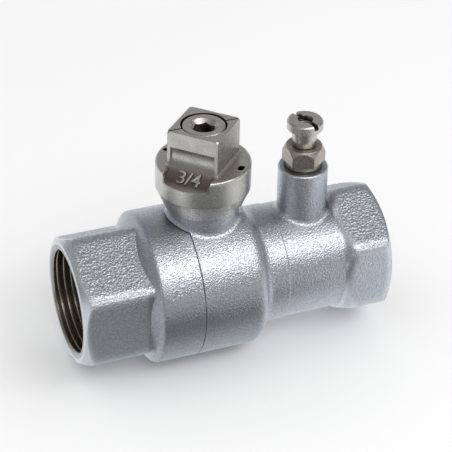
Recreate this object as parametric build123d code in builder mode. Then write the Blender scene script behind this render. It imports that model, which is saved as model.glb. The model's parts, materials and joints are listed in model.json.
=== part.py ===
"""Sealable in-line ball valve with a built-in spring check valve and a test cock.

A backflow preventer with G 3/4 female threads. Millimetres. The origin is the centre of
the inlet mouth, +X runs along the pipe with the flow, and +Z points out of the key cap.
The model rests with the ball open, the check valve shut and the bleed screw shut.
"""

import os
from math import asin, atan2, cos, degrees, radians, sin, sqrt, tan

from build123d import *

os.makedirs("parts", exist_ok=True)

# ---------------------------------------------------------------- driving dimensions
# named clearances
running_gap = 0.05
oring_gap = 0.02
slip_gap = 0.1
slide_gap = 0.2
shut_gap = 0.02

# pipe connections: G 3/4 female thread, drawn as a plain bore at its major diameter
thread_r = 26.441 / 2
thread_height = 1.162
thread_depth = 13.0
outlet_thread_depth = 12.0
mouth_chamfer = 0.45
thread_runout = 1.6
thread_land = 2.0

# end connector, at the inlet
inlet_hex_wall = 2.78
inlet_hex_length = 16.3
inlet_shoulder_length = 3.2
hex_corner_round = 2.6
hex_end_rim = 0.7
hex_end_slope = 30.0
inlet_web_length = 6.9
shoulder_fillet = 1.4
seam_chamfer = 0.25

# ball and seats
ball_r = 14.0
port_r = 10.0
ball_land = 0.3
ball_gap = 0.3
seat_contact = 2.57
seat_back = 1.43
ball_web = 1.2
tang_width = 5.0
tang_length = 9.0
tang_gap = 0.15

# ball housing
seam_margin = 0.2
connector_wall = 2.75
spigot_wall = 2.7
spigot_lead = 2.6
gasket_thickness = 1.0
neck_length = 6.0
neck_round_share = 0.57

# tail, around the check valve, and the outlet hexagon
tail_wall = 3.4
band_length = 4.2
band_rise = 0.25
outlet_hex_wall = 2.53
outlet_hex_length = 13.0
outlet_back_slope = 38.0

# stem and its seals
stem_r = 4.5
stem_shoulder_width = 1.3
stem_shoulder_rise = 0.6
stem_shoulder_height = 2.6
washer_thickness = 0.8
oring_width = 1.5
oring_depth = 1.0
stem_groove_rise = (1.3, 4.3)
stem_square = 6.2
stem_top_gap = 2.25

# stem boss, with its collar and quarter-turn stop
collar_wall = 2.9
stop_width = 1.4
stem_boss_edge = 0.3
stem_boss_height = 2.75
boss_root_fillet = 1.5
collar_height = 2.5
quarter_turn = 90.0
stop_slack = 1.0
stop_centre_angle = 180.0

# key cap
cap_wall = 0.9
cap_bottom_gap = 0.2
cap_seat_gap = 0.3
skirt_height = 4.3
flange_overhang = 2.1
flange_height = 7.8
rim_fillet = 0.7
flare_overlap = 1.0
lug_angle = 70.0
key_square = 13.5
key_height = 9.8
key_chamfer_drop = 0.5
key_corner_trim = 0.4
key_root_fillet = 0.9
head_overlap = 1.0
scoop_angle = 225.0
face_scoop_r = 6.0
face_scoop_drop = 2.9
face_scoop_margin = 0.3
face_scoop_end_r = 2.5
face_pocket_depth = 0.5
face_pocket_margin = 0.9
face_pocket_drop = 0.8
wire_hole_r = 0.8
wire_hole_inset = 1.8
wire_slot_length = 2.5
pointer_width = 0.6
pointer_depth = 0.45

# screw that holds the key cap
cap_screw_rim = 1.25
cap_screw_head_height = 6.0
cap_screw_sunk = 0.15
cap_screw_edge = 0.3
cap_screw_ring_gap = 0.35
cap_screw_socket_flats = 5.0
cap_screw_socket_depth = 3.6
cap_screw_socket_flare = 0.75
cap_screw_r = 2.5
cap_screw_length = 9.4
cap_screw_hole_spare = 1.0

# check valve cartridge
chamber_pass = 0.46
web_length = 3.0
cartridge_length = 7.0
cartridge_mouth = 1.2
cartridge_wall = 1.2
cartridge_cup_slope = 0.4
cartridge_groove_offset = 0.8
check_seat_offset = 3.0
poppet_side_gap = 1.4
poppet_seat_width = 1.5
poppet_thickness = 1.7
poppet_edge = 0.8
poppet_spigot_r = 5.0
poppet_seal_thickness = 1.0
poppet_seal_inset = 0.2
poppet_nose_gap = 0.5
poppet_nose_length = 2.0
poppet_nose_edge = 1.0
poppet_stem_r = 1.9
poppet_stem_hold = 3.2
retainer_stud_r = 2.0
retainer_stud_length = 2.2
retainer_slot_length = 5.2
retainer_slot_width = 1.3
retainer_slot_depth = 0.8
check_travel = 3.5
spring_wire_r = 0.3
spring_r = 4.5
spring_turns = 4.5
spring_recess = 0.6
spring_pressed_length = 3.3
cage_wall = 1.4
cage_ring_length = 1.8
cage_rib_width = 2.6
cage_hub_r = 3.5
cage_disc_rim = 0.7
cage_disc_thickness = 1.4
cage_hub_length = 5.18
snap_ring_thickness = 1.2
snap_ring_width = 1.95
snap_groove_depth = 0.7
snap_ring_gap = 46.0
snap_ear_r = 1.5
snap_ear_hole_r = 0.6
snap_ear_turn = 9.0
snap_ear_inset = 0.5

# test cock
cock_hex_gap = 0.6
cock_band_gap = 2.4
cock_boss_wall = 1.5
cock_boss_height = 12.6
cock_boss_chamfer = 0.3
cock_port_r = 2.0
cock_thread_r = 4.0
cock_thread_length = 9.3
cock_recess_width = 0.9
cock_recess_depth = 0.9
plug_oring_thickness = 1.3
plug_length = 8.7
plug_flange_thickness = 1.2
plug_flange_width = 0.6
plug_waist_cut = 0.6
plug_hex_flats = 9.5
plug_hex_angle = -24.0
plug_hex_height = 4.4
plug_hex_top_r = 4.55
plug_hex_top_slope = 60.0
plug_bore_r = 2.5
plug_seat_r = 1.1
plug_seat_height = 2.6
plug_seat_drop = 0.4
plug_seat_rise = 1.0
plug_tip_chamfer = 0.6
plug_runout = 0.3
bleed_neck_r = 2.9
bleed_neck_height = 0.7
bleed_flare_r = 3.4
bleed_flare_height = 3.6
bleed_head_r = 4.6
bleed_head_slope = 0.7
bleed_head_height = 2.3
bleed_head_edge = 0.4
bleed_slot_width = 1.3
bleed_slot_depth = 1.2
bleed_slot_angle = 105.0
bleed_recess_r = 2.0
bleed_recess_depth = 1.6
bleed_recess_slope = 0.6
bleed_drain_r = 1.1
bleed_drain_floor = 2.2
bleed_cross_hole_r = 0.6
bleed_cross_hole_rise = 3.2
bleed_tip_r = 0.7
bleed_tip_drop = 0.2
bleed_cone_height = 2.1
bleed_groove_drop = 4.0
bleed_oring_width = 1.2
bleed_oring_depth = 0.8

# ---------------------------------------------------------------- derived sizes
# across the pipe, from the ball outwards
cavity_r = ball_r + ball_gap
spigot_r = cavity_r + spigot_wall
housing_r = spigot_r + connector_wall
ball_half_width = round(sqrt(ball_r**2 - port_r**2) - ball_land, 1)
seat_hollow_r = ball_r + running_gap
seat_inner_r = port_r + slip_gap
seat_outer_r = cavity_r - slip_gap
seat_lip = sqrt(seat_hollow_r**2 - seat_inner_r**2)
seat_start = round(seat_lip - seat_contact, 1)
seat_end = round(seat_lip + seat_back, 1)
inlet_flats = round(2 * (thread_r + inlet_hex_wall), 1)
outlet_flats = round(2 * (thread_r + outlet_hex_wall), 1)
chamber_r = round(thread_r - thread_height - chamber_pass, 1)
tail_r = chamber_r + tail_wall
band_r = tail_r + band_rise

# stem, collar and key cap, from the stem outwards
stem_shoulder_r = stem_r + stem_shoulder_width
collar_r = stem_r + collar_wall
stop_r = collar_r + stop_width
stem_boss_r = stop_r + stem_boss_edge
cavity_in_cap_r = stop_r + slide_gap
skirt_r = cavity_in_cap_r + cap_wall
flange_r = skirt_r + flange_overhang
wire_hole_circle_r = flange_r - wire_hole_inset
cap_screw_head_r = key_square / 2 - cap_screw_rim
key_corner_r = key_square / sqrt(2)

# check valve, from the chamber inwards
cartridge_r = chamber_r - slip_gap
check_cup_r = chamber_r - cartridge_wall
poppet_r = check_cup_r - poppet_side_gap
check_bore_r = poppet_r - poppet_seat_width
poppet_seal_r = poppet_r - poppet_seal_inset
poppet_nose_r = check_bore_r - poppet_nose_gap
cage_disc_r = spring_r + spring_wire_r + cage_disc_rim
snap_ring_outer_r = chamber_r + snap_groove_depth - running_gap
snap_ring_inner_r = snap_ring_outer_r - snap_ring_width

# test cock, from its thread outwards
cock_recess_r = cock_thread_r + cock_recess_width
cock_boss_r = cock_recess_r + cock_boss_wall
plug_thread_r = cock_thread_r - running_gap
plug_waist_r = cock_thread_r - plug_waist_cut
plug_flange_r = cock_thread_r + plug_flange_width
bleed_shank_r = plug_bore_r - running_gap

# along the pipe, from the inlet
shoulder_x = inlet_hex_length + inlet_shoulder_length
connector_floor_x = thread_depth + thread_runout + inlet_web_length
spigot_tip_x = connector_floor_x + gasket_thickness
stem_x = spigot_tip_x + spigot_lead + seat_end
seam_x = stem_x - stem_shoulder_r - seam_margin
cavity_end_x = stem_x + seat_end
chamber_x = cavity_end_x + web_length
check_seat_x = chamber_x + check_seat_offset
retainer_x = check_seat_x + shut_gap
disc_x = retainer_x + poppet_seal_thickness
disc_back_x = disc_x + poppet_thickness
cage_x = chamber_x + cartridge_length
cage_disc_x = disc_back_x + check_travel + spring_pressed_length
snap_groove_x = cage_disc_x + cage_hub_length
outlet_thread_x = snap_groove_x + snap_ring_thickness + slip_gap + thread_land
overall_length = outlet_thread_x + outlet_thread_depth
outlet_hex_x = overall_length - outlet_hex_length
cock_x = outlet_hex_x - cock_hex_gap - cock_boss_r
band_end_x = cock_x - cock_boss_r - cock_band_gap
neck_end_x = band_end_x - band_length
housing_end_x = neck_end_x - neck_length

# up the stem
slot_floor_z = port_r + ball_web
stem_shoulder_z = ball_r + stem_shoulder_rise
washer_z = stem_shoulder_z + stem_shoulder_height
stem_pocket_top = washer_z + washer_thickness
stem_boss_top = housing_r + stem_boss_height
collar_top = stem_boss_top + collar_height
cap_skirt_z = stem_boss_top + cap_bottom_gap
cap_seat_z = collar_top + cap_seat_gap
flange_low_z = cap_skirt_z + skirt_height
flange_top_z = flange_low_z + flange_height
key_top_z = flange_top_z + key_height
face_scoop_floor_z = flange_top_z - face_scoop_drop
cap_screw_top = key_top_z - cap_screw_sunk
cap_floor_z = cap_screw_top - cap_screw_head_height
cap_screw_tip_z = cap_floor_z - cap_screw_length
stem_square_top = cap_floor_z - stem_top_gap
stem_groove_z = [stem_pocket_top + rise for rise in stem_groove_rise]

# up the test cock
cock_boss_top = tail_r + cock_boss_height
cock_recess_floor = cock_boss_top - cock_recess_depth
cock_thread_floor = cock_recess_floor - cock_thread_length
plug_low_z = cock_recess_floor - plug_length
plug_seat_z = plug_low_z + plug_seat_height
plug_flange_z = cock_recess_floor + plug_oring_thickness
plug_hex_z = plug_flange_z + plug_flange_thickness
plug_top = plug_hex_z + plug_hex_height
bleed_tip_z = plug_seat_z - bleed_tip_drop
bleed_groove_z = plug_top - bleed_groove_drop
bleed_neck_z = plug_top + bleed_neck_height
bleed_flare_z = bleed_neck_z + bleed_flare_height
bleed_head_z = bleed_flare_z + bleed_head_slope
bleed_top_z = bleed_head_z + bleed_head_height

PIPE = Plane.XZ
# the same plane drawn downwards, so that the body's closing line lies away from its bosses
PIPE_BELOW = Plane(origin=(0, 0, 0), x_dir=(1, 0, 0), z_dir=(0, 1, 0))
STEM = Plane(origin=(stem_x, 0, 0), x_dir=(1, 0, 0), z_dir=(0, -1, 0))
COCK = Plane(origin=(cock_x, 0, 0), x_dir=(1, 0, 0), z_dir=(0, -1, 0))
STEM_AXIS = Axis((stem_x, 0, 0), (0, 0, 1))
COCK_AXIS = Axis((cock_x, 0, 0), (0, 0, 1))


# ---------------------------------------------------------------- shared shapes
def section(plane, *corners):
    """A straight-sided half section on a plane, to be turned about its axis."""
    with BuildSketch(plane) as outline:
        with BuildLine():
            Polyline(*corners, close=True)
        make_face()
    return outline.sketch


def pipe_ring(start, end, inner, outer):
    """The half section of a ring around the pipe axis."""
    return section(PIPE, (start, inner), (end, inner), (end, outer), (start, outer))


def post_ring(plane, low, high, inner, outer):
    """The half section of a ring around the stem's or the test cock's axis."""
    return section(plane, (inner, low), (outer, low), (outer, high), (inner, high))


def level(x, z):
    """A horizontal plane at height z, centred on the pipe at x."""
    return Plane(origin=(x, 0, z))


def wedge(x, z, centre_angle, angle, reach):
    """A pie slice on a horizontal plane, centred on one direction."""
    half = radians(angle / 2)
    middle = radians(centre_angle)
    first = (reach * cos(middle - half), reach * sin(middle - half))
    last = (reach * cos(middle + half), reach * sin(middle + half))
    with BuildSketch(level(x, z)) as slice_:
        with BuildLine():
            Line((0, 0), first)
            ThreePointArc(first, (reach * cos(middle), reach * sin(middle)), last)
            Line(last, (0, 0))
        make_face()
    return slice_.sketch


def hexagon(plane, flats, turned=0.0, corner=0.0):
    """A hexagon of a given width across flats, with rounded corners."""
    with BuildSketch(plane) as outline:
        RegularPolygon(flats / 2, 6, major_radius=False, rotation=turned)
        if corner:
            fillet(outline.vertices(), corner)
    return outline.sketch


def oring(plane, axis, low, width, inner, outer):
    """A squeezed O-ring: a ring with its four edges well rounded."""
    with BuildPart() as ring:
        revolve(post_ring(plane, low, low + width, inner, outer), axis=axis)
        fillet(ring.edges(), 0.42 * min(width, outer - inner))
    return ring.part


def oring_on_pipe(start, width, inner, outer):
    """The same squeezed O-ring around the pipe axis."""
    with BuildPart() as ring:
        revolve(pipe_ring(start, start + width, inner, outer), axis=Axis.X)
        fillet(ring.edges(), 0.42 * min(width, outer - inner))
    return ring.part


def wire_hole_place(angle):
    """Where a sealing-wire hole goes through the key cap's flange."""
    return (
        wire_hole_circle_r * cos(radians(angle)),
        wire_hole_circle_r * sin(radians(angle)),
    )


def boss_root(edges):
    """The curved edges where a boss meets the body below it."""
    return edges.filter_by(GeomType.BSPLINE)


# ---------------------------------------------------------------- end connector
def turned_corner(flats):
    """The radius of a hexagon's rounded corners."""
    return flats / sqrt(3) - hex_corner_round * (2 / sqrt(3) - 1)


def hex_end_outline(flats, rim_x, back_x, into, back_slope=None):
    """The turned outline that chamfers a hexagon: into is +1 or -1, away from the rim."""
    rim_r = flats / 2 - hex_end_rim
    corner_r = turned_corner(flats) + slip_gap
    front_run = (corner_r - rim_r) * tan(radians(hex_end_slope))
    corners = [(rim_x, 0), (rim_x, rim_r), (rim_x + into * front_run, corner_r)]
    if back_slope is None:
        corners.append((back_x, corner_r))
    else:
        back_run = (corner_r - tail_r) * tan(radians(back_slope))
        corners.append((back_x - into * back_run, corner_r))
        corners.append((back_x, tail_r))
    corners.append((back_x, 0))
    return section(PIPE, *corners)


with BuildPart() as inlet_hex:
    extrude(
        hexagon(Plane.YZ, inlet_flats, turned=30, corner=hex_corner_round),
        amount=shoulder_x,
    )
    revolve(
        hex_end_outline(inlet_flats, 0, shoulder_x, 1),
        axis=Axis.X,
        mode=Mode.INTERSECT,
    )

with BuildPart() as end_connector:
    revolve(
        section(
            PIPE,
            (inlet_hex_length, 0),
            (inlet_hex_length, inlet_flats / 2 - hex_end_rim),
            (shoulder_x, housing_r),
            (seam_x, housing_r),
            (seam_x, 0),
        ),
        axis=Axis.X,
    )
    shoulder_edge = end_connector.edges().filter_by(GeomType.CIRCLE).filter_by(
        lambda e: abs(e.center().X - shoulder_x) < 0.01
    )
    fillet(shoulder_edge, shoulder_fillet)
    add(inlet_hex.part)
    chamfer(
        end_connector.edges()
        .filter_by(GeomType.CIRCLE)
        .filter_by(lambda e: abs(e.center().X - seam_x) < 0.01 and e.radius > spigot_r),
        seam_chamfer,
    )
    # waterway, thread bore with its runout, and the counterbore for the body's spigot
    revolve(
        section(
            PIPE,
            (0, 0),
            (0, thread_r + mouth_chamfer),
            (mouth_chamfer, thread_r),
            (thread_depth, thread_r),
            (thread_depth + thread_runout, port_r),
            (seam_x, port_r),
            (seam_x, 0),
        ),
        axis=Axis.X,
        mode=Mode.SUBTRACT,
    )
    nose_end_x = stem_x - seat_end
    revolve(
        section(
            PIPE,
            (connector_floor_x, seat_outer_r),
            (nose_end_x, seat_outer_r),
            (nose_end_x, 0),
            (seam_x, 0),
            (seam_x, spigot_r + running_gap),
            (connector_floor_x, spigot_r + running_gap),
        ),
        axis=Axis.X,
        mode=Mode.SUBTRACT,
    )
end_connector.part.label = "end_connector"
export_step(end_connector.part, "parts/end_connector.step")

# ---------------------------------------------------------------- valve body
neck_drop = housing_r - band_r
neck_turn = 2 * atan2(neck_drop, neck_length)
neck_radii = neck_length / sin(neck_turn)
neck_outer_round = neck_radii * neck_round_share
neck_inner_round = neck_radii - neck_outer_round

with BuildPart() as outlet_hex:
    extrude(
        hexagon(
            Plane.YZ.offset(outlet_hex_x), outlet_flats, turned=30, corner=hex_corner_round
        ),
        amount=outlet_hex_length,
    )
    revolve(
        hex_end_outline(outlet_flats, overall_length, outlet_hex_x, -1, outlet_back_slope),
        axis=Axis.X,
        mode=Mode.INTERSECT,
    )

with BuildPart() as body:
    # turned outline, drawn past the seam so that the boss blends all the way round
    with BuildSketch(PIPE_BELOW):
        with BuildLine():
            start = Polyline(
                (spigot_tip_x, 0), (spigot_tip_x, housing_r), (housing_end_x, housing_r)
            )
            shoulder = JernArc(
                start @ 1, (1, 0), neck_outer_round, -degrees(neck_turn)
            )
            neck = JernArc(shoulder @ 1, shoulder % 1, neck_inner_round, degrees(neck_turn))
            Polyline(
                neck @ 1,
                (band_end_x, band_r),
                (band_end_x + band_rise, tail_r),
                (overall_length, tail_r),
                (overall_length, 0),
                (spigot_tip_x, 0),
            )
        make_face()
    revolve(axis=Axis.X)
    with BuildSketch(level(stem_x, 0)):
        Circle(stem_boss_r)
    extrude(amount=stem_boss_top)
    fillet(boss_root(body.edges(Select.LAST)), boss_root_fillet)
    with BuildSketch(level(cock_x, 0)):
        Circle(cock_boss_r)
    extrude(amount=cock_boss_top)
    fillet(boss_root(body.edges(Select.LAST)), boss_root_fillet)
    cock_rim = body.edges().filter_by(GeomType.CIRCLE).sort_by(Axis.Z)[-1]
    chamfer(cock_rim, cock_boss_chamfer)
    add(outlet_hex.part)
    # spigot: the forging is turned down where the end connector screws over it
    revolve(
        section(
            PIPE,
            (spigot_tip_x, spigot_r),
            (seam_x, spigot_r),
            (seam_x, housing_r + slide_gap),
            (spigot_tip_x, housing_r + slide_gap),
        ),
        axis=Axis.X,
        mode=Mode.SUBTRACT,
    )
    # collar around the stem, with the quarter-turn stop on one side
    with BuildSketch(level(stem_x, stem_boss_top)):
        Circle(collar_r)
    extrude(amount=collar_height)
    extrude(
        wedge(
            stem_x,
            stem_boss_top,
            stop_centre_angle,
            quarter_turn - 2 * stop_slack,
            stop_r,
        ),
        amount=collar_height,
    )
    # waterway: ball cavity, web, check chamber and outlet thread bore
    revolve(
        section(
            PIPE,
            (spigot_tip_x, 0),
            (spigot_tip_x, cavity_r),
            (cavity_end_x, cavity_r),
            (cavity_end_x, port_r),
            (chamber_x, port_r),
            (chamber_x, chamber_r),
            (outlet_thread_x, chamber_r),
            (outlet_thread_x, thread_r),
            (overall_length - mouth_chamfer, thread_r),
            (overall_length, thread_r + mouth_chamfer),
            (overall_length, 0),
        ),
        axis=Axis.X,
        mode=Mode.SUBTRACT,
    )
    revolve(
        pipe_ring(
            snap_groove_x,
            snap_groove_x + snap_ring_thickness + slip_gap,
            cartridge_r,
            chamber_r + snap_groove_depth,
        ),
        axis=Axis.X,
        mode=Mode.SUBTRACT,
    )
    # stem passage
    revolve(
        post_ring(STEM, 0, stem_pocket_top, 0, stem_shoulder_r + slip_gap),
        axis=STEM_AXIS,
        mode=Mode.SUBTRACT,
    )
    revolve(
        post_ring(STEM, 0, collar_top, 0, stem_r + running_gap),
        axis=STEM_AXIS,
        mode=Mode.SUBTRACT,
    )
    # test port, its thread bore and the recess for the plug's O-ring
    revolve(
        section(
            COCK,
            (0, 0),
            (cock_port_r, 0),
            (cock_port_r, cock_thread_floor - cock_thread_r + cock_port_r),
            (cock_thread_r, cock_thread_floor),
            (cock_thread_r, cock_recess_floor),
            (cock_recess_r, cock_recess_floor),
            (cock_recess_r, cock_boss_top),
            (0, cock_boss_top),
        ),
        axis=COCK_AXIS,
        mode=Mode.SUBTRACT,
    )
body.part.label = "body"
export_step(body.part, "parts/body.step")

# ---------------------------------------------------------------- joint gasket
with BuildPart() as joint_gasket:
    revolve(pipe_ring(connector_floor_x, spigot_tip_x, cavity_r, spigot_r), axis=Axis.X)
joint_gasket.part.label = "joint_gasket"
export_step(joint_gasket.part, "parts/joint_gasket.step")

# ---------------------------------------------------------------- ball
with BuildPart() as ball:
    Sphere(ball_r)
    Box(2 * ball_half_width, 2 * ball_r, 2 * ball_r, mode=Mode.INTERSECT)
    Cylinder(port_r, 2 * ball_r, rotation=(0, 90, 0), mode=Mode.SUBTRACT)
    with BuildSketch(Plane.XY.offset(slot_floor_z)):
        Rectangle(tang_width + 2 * slip_gap, 2 * ball_r)
    extrude(amount=ball_r, mode=Mode.SUBTRACT)
placed_ball = ball.part.moved(Location((stem_x, 0, 0)))
placed_ball.label = "ball"
export_step(placed_ball, "parts/ball.step")


# ---------------------------------------------------------------- ball seats
def ball_seat(direction):
    """A PTFE seat ring on one side of the ball, hollowed to the ball's shape."""
    near = stem_x + direction * seat_start
    far = stem_x + direction * seat_end
    rim = (near, sqrt(seat_hollow_r**2 - seat_start**2))
    lip = (stem_x + direction * seat_lip, seat_inner_r)
    middle = (asin(rim[1] / seat_hollow_r) + asin(seat_inner_r / seat_hollow_r)) / 2
    deepest = (
        stem_x + direction * seat_hollow_r * cos(middle),
        seat_hollow_r * sin(middle),
    )
    with BuildPart() as seat:
        with BuildSketch(PIPE):
            with BuildLine():
                Polyline(
                    lip, (far, seat_inner_r), (far, seat_outer_r), (near, seat_outer_r), rim
                )
                ThreePointArc(rim, deepest, lip)
            make_face()
        revolve(axis=Axis.X)
    return seat.part


for seat_name, side in (("seat_inlet", -1), ("seat_outlet", 1)):
    seat_part = ball_seat(side)
    seat_part.label = seat_name
    export_step(seat_part, f"parts/{seat_name}.step")

# ---------------------------------------------------------------- stem and its seals
with BuildPart() as stem:
    with BuildSketch(level(stem_x, slot_floor_z + tang_gap)):
        Rectangle(tang_width, tang_length)
    extrude(amount=stem_shoulder_z - slot_floor_z - tang_gap)
    revolve(post_ring(STEM, stem_shoulder_z, washer_z, 0, stem_shoulder_r), axis=STEM_AXIS)
    revolve(post_ring(STEM, washer_z, cap_seat_z, 0, stem_r), axis=STEM_AXIS)
    with BuildSketch(level(stem_x, cap_seat_z)):
        Rectangle(stem_square, stem_square, rotation=45)
    extrude(amount=stem_square_top - cap_seat_z)
    for groove_z in stem_groove_z:
        revolve(
            post_ring(
                STEM,
                groove_z - running_gap,
                groove_z + oring_width + running_gap,
                stem_r - oring_depth,
                stem_r + slip_gap,
            ),
            axis=STEM_AXIS,
            mode=Mode.SUBTRACT,
        )
    cap_screw_hole_floor = cap_screw_tip_z - cap_screw_hole_spare
    with BuildSketch(level(stem_x, cap_screw_hole_floor)):
        Circle(cap_screw_r)
    extrude(amount=stem_square_top - cap_screw_hole_floor, mode=Mode.SUBTRACT)
stem.part.label = "stem"
export_step(stem.part, "parts/stem.step")

with BuildPart() as stem_thrust_washer:
    revolve(
        post_ring(
            STEM, washer_z + shut_gap, stem_pocket_top, stem_r + slip_gap, stem_shoulder_r
        ),
        axis=STEM_AXIS,
    )
stem_thrust_washer.part.label = "stem_thrust_washer"
export_step(stem_thrust_washer.part, "parts/stem_thrust_washer.step")

for ring_name, groove_z in zip(("stem_oring_lower", "stem_oring_upper"), stem_groove_z):
    ring_part = oring(
        STEM, STEM_AXIS, groove_z, oring_width, stem_r - oring_depth, stem_r + oring_gap
    )
    ring_part.label = ring_name
    export_step(ring_part, f"parts/{ring_name}.step")

# ---------------------------------------------------------------- key cap
with BuildPart() as key_head:
    with BuildSketch(level(stem_x, flange_top_z - head_overlap)):
        Rectangle(key_square, key_square, rotation=45)
    extrude(amount=key_top_z - flange_top_z + head_overlap)
    revolve(
        section(
            STEM,
            (0, flange_top_z - head_overlap),
            (key_corner_r, flange_top_z - head_overlap),
            (key_corner_r, key_top_z - key_chamfer_drop),
            (key_corner_r - key_corner_trim, key_top_z),
            (0, key_top_z),
        ),
        axis=STEM_AXIS,
        mode=Mode.INTERSECT,
    )

pocket_height = key_top_z - face_pocket_drop - face_scoop_floor_z - face_scoop_r


def scoop_plane(reach):
    """The plane across the scoop, at its centre: local x is up and local y is outwards."""
    turned = radians(scoop_angle)
    return Plane(
        origin=(
            stem_x + reach * cos(turned),
            reach * sin(turned),
            face_scoop_floor_z + face_scoop_r,
        ),
        x_dir=(0, 0, 1),
        z_dir=(sin(turned), -cos(turned), 0),
    )


scoop_reach = key_square / 2 + face_scoop_r
with BuildPart() as face_scoop:
    with BuildSketch(scoop_plane(scoop_reach)):
        Circle(face_scoop_r)
    extrude(amount=key_square / 2 - face_scoop_margin, both=True)
    fillet(face_scoop.edges().filter_by(GeomType.CIRCLE), face_scoop_end_r)

with BuildPart() as key_cap:
    # skirt and flange
    revolve(
        section(
            STEM,
            (0, cap_skirt_z),
            (skirt_r, cap_skirt_z),
            (skirt_r, flange_low_z),
            (flange_r, flange_low_z),
            (flange_r, flange_top_z),
            (0, flange_top_z),
        ),
        axis=STEM_AXIS,
    )
    flange_rims = key_cap.edges().filter_by(GeomType.CIRCLE).filter_by(
        lambda e: abs(e.radius - flange_r) < 0.01
    )
    fillet(flange_rims, rim_fillet)
    # conical flare under the flange, left out where the flat lug stands
    revolve(
        section(
            STEM,
            (skirt_r - flare_overlap, cap_skirt_z),
            (skirt_r, cap_skirt_z),
            (flange_r, flange_low_z + rim_fillet),
            (flange_r - flare_overlap, flange_low_z + rim_fillet),
            (skirt_r - flare_overlap, flange_low_z),
        ).rotate(STEM_AXIS, lug_angle / 2),
        axis=STEM_AXIS,
        revolution_arc=360 - lug_angle,
    )
    add(key_head.part)
    head_root = key_cap.edges().filter_by(GeomType.LINE).filter_by(
        lambda e: abs(e.center().Z - flange_top_z) < 0.01
    )
    fillet(head_root, key_root_fillet)
    # scoop in front of one face of the key, and the shallow pocket above it
    add(face_scoop.part, mode=Mode.SUBTRACT)
    with BuildSketch(scoop_plane(scoop_reach - face_pocket_depth)):
        Circle(face_scoop_r)
        with Locations((pocket_height / 2, -face_scoop_r / 2)):
            Rectangle(pocket_height, face_scoop_r)
    extrude(amount=key_square / 2 - face_pocket_margin, both=True, mode=Mode.SUBTRACT)
    # cavity over the body's collar: a half-turn lug is left to meet the stop
    revolve(
        post_ring(STEM, cap_skirt_z, cap_seat_z, 0, collar_r + slip_gap),
        axis=STEM_AXIS,
        mode=Mode.SUBTRACT,
    )
    lug_free = wedge(
        stem_x, cap_skirt_z, stop_centre_angle + quarter_turn / 2, 2 * quarter_turn, cavity_in_cap_r
    )
    extrude(lug_free, amount=cap_seat_z - cap_skirt_z, mode=Mode.SUBTRACT)
    # square hole for the stem, screw hole and counterbore
    with BuildSketch(level(stem_x, cap_seat_z)):
        Rectangle(stem_square + slip_gap, stem_square + slip_gap, rotation=45)
    extrude(amount=stem_square_top + slip_gap - cap_seat_z, mode=Mode.SUBTRACT)
    with BuildSketch(level(stem_x, cap_seat_z)):
        Circle(cap_screw_r + slide_gap)
    extrude(amount=cap_floor_z - cap_seat_z, mode=Mode.SUBTRACT)
    with BuildSketch(level(stem_x, cap_floor_z)):
        Circle(cap_screw_head_r + cap_screw_ring_gap)
    extrude(amount=key_top_z - cap_floor_z, mode=Mode.SUBTRACT)
    # holes for the sealing wire, one round and one long
    with BuildSketch(level(stem_x, cap_skirt_z)):
        with Locations(wire_hole_place(scoop_angle - 90)):
            Circle(wire_hole_r)
        with Locations(wire_hole_place(scoop_angle + 90)):
            SlotOverall(wire_slot_length, 2 * wire_hole_r, rotation=scoop_angle)
    extrude(amount=flange_top_z - cap_skirt_z, mode=Mode.SUBTRACT)
    # pointer line across the top, along the open waterway
    with BuildSketch(level(stem_x, key_top_z - pointer_depth)):
        Rectangle(2 * key_corner_r, pointer_width)
    extrude(amount=pointer_depth, mode=Mode.SUBTRACT)
key_cap.part.label = "key_cap"
export_step(key_cap.part, "parts/key_cap.step")

# ---------------------------------------------------------------- key cap screw
with BuildPart() as cap_screw:
    revolve(
        section(
            STEM,
            (0, cap_screw_tip_z),
            (cap_screw_r - running_gap, cap_screw_tip_z),
            (cap_screw_r - running_gap, cap_floor_z),
            (cap_screw_head_r, cap_floor_z),
            (cap_screw_head_r, cap_screw_top),
            (0, cap_screw_top),
        ),
        axis=STEM_AXIS,
    )
    head_rim = cap_screw.edges().filter_by(GeomType.CIRCLE).sort_by(Axis.Z)[-1]
    chamfer(head_rim, cap_screw_edge)
    with BuildSketch(level(stem_x, cap_screw_top)):
        RegularPolygon(cap_screw_socket_flats / 2, 6, major_radius=False)
    extrude(amount=-cap_screw_socket_depth, mode=Mode.SUBTRACT)
    socket_corner_r = cap_screw_socket_flats / sqrt(3)
    revolve(
        section(
            STEM,
            (0, cap_screw_top),
            (socket_corner_r + cap_screw_socket_flare, cap_screw_top),
            (socket_corner_r - cap_screw_socket_flare, cap_screw_top - 2 * cap_screw_socket_flare),
            (0, cap_screw_top - 2 * cap_screw_socket_flare),
        ),
        axis=STEM_AXIS,
        mode=Mode.SUBTRACT,
    )
cap_screw.part.label = "cap_screw"
export_step(cap_screw.part, "parts/cap_screw.step")

# ---------------------------------------------------------------- check valve cartridge
with BuildPart() as cartridge_body:
    revolve(
        section(
            PIPE,
            (chamber_x, check_bore_r + cartridge_mouth),
            (chamber_x + cartridge_mouth, check_bore_r),
            (check_seat_x, check_bore_r),
            (check_seat_x, poppet_r),
            (check_seat_x + cartridge_cup_slope, check_cup_r),
            (cage_x, check_cup_r),
            (cage_x, cartridge_r),
            (chamber_x, cartridge_r),
        ),
        axis=Axis.X,
    )
    revolve(
        pipe_ring(
            chamber_x + cartridge_groove_offset - running_gap,
            chamber_x + cartridge_groove_offset + oring_width + running_gap,
            cartridge_r - oring_depth,
            chamber_r,
        ),
        axis=Axis.X,
        mode=Mode.SUBTRACT,
    )
cartridge_body.part.label = "cartridge_body"
export_step(cartridge_body.part, "parts/cartridge_body.step")

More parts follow.
